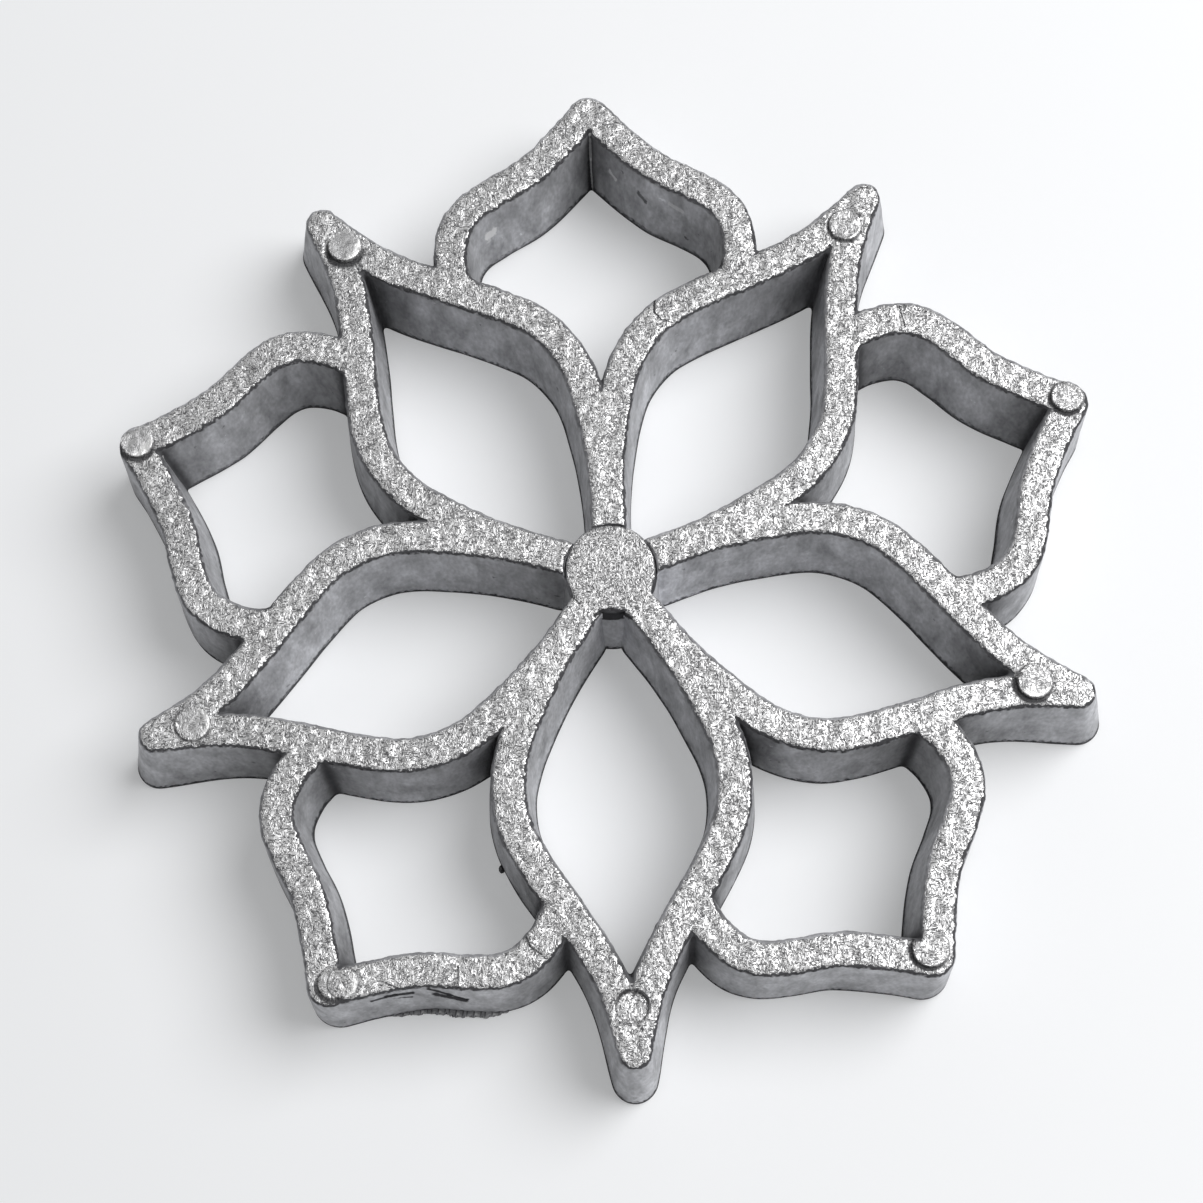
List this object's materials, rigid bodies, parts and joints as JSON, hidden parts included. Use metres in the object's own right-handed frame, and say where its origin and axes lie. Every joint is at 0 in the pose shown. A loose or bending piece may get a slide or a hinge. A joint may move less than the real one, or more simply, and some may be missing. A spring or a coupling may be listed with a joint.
{
  "type": "rosette cookie iron head",
  "caption": "Cast aluminium flower-shaped rosette iron head: drafted petal walls open front to back, joined by webs to a tapped centre boss.",
  "frame": {"origin": "middle of the plane of the rear rim, which the head rests on, under the centre of the boss", "axes": "+Z from the rear rim to the batter face, out through the boss; +Y along one outer petal"},
  "size_m": [0.082, 0.0856, 0.0105],
  "materials": {
    "cast_metal": "as cast, tumbled: bright pebbled grain on the batter face, smooth duller walls",
    "boss_metal": "as cast, finer grain than the petals"
  },
  "bodies": {
    "root": {"petal_casting": "cast_metal", "centre_boss": "boss_metal"}
  },
  "joints": []
}
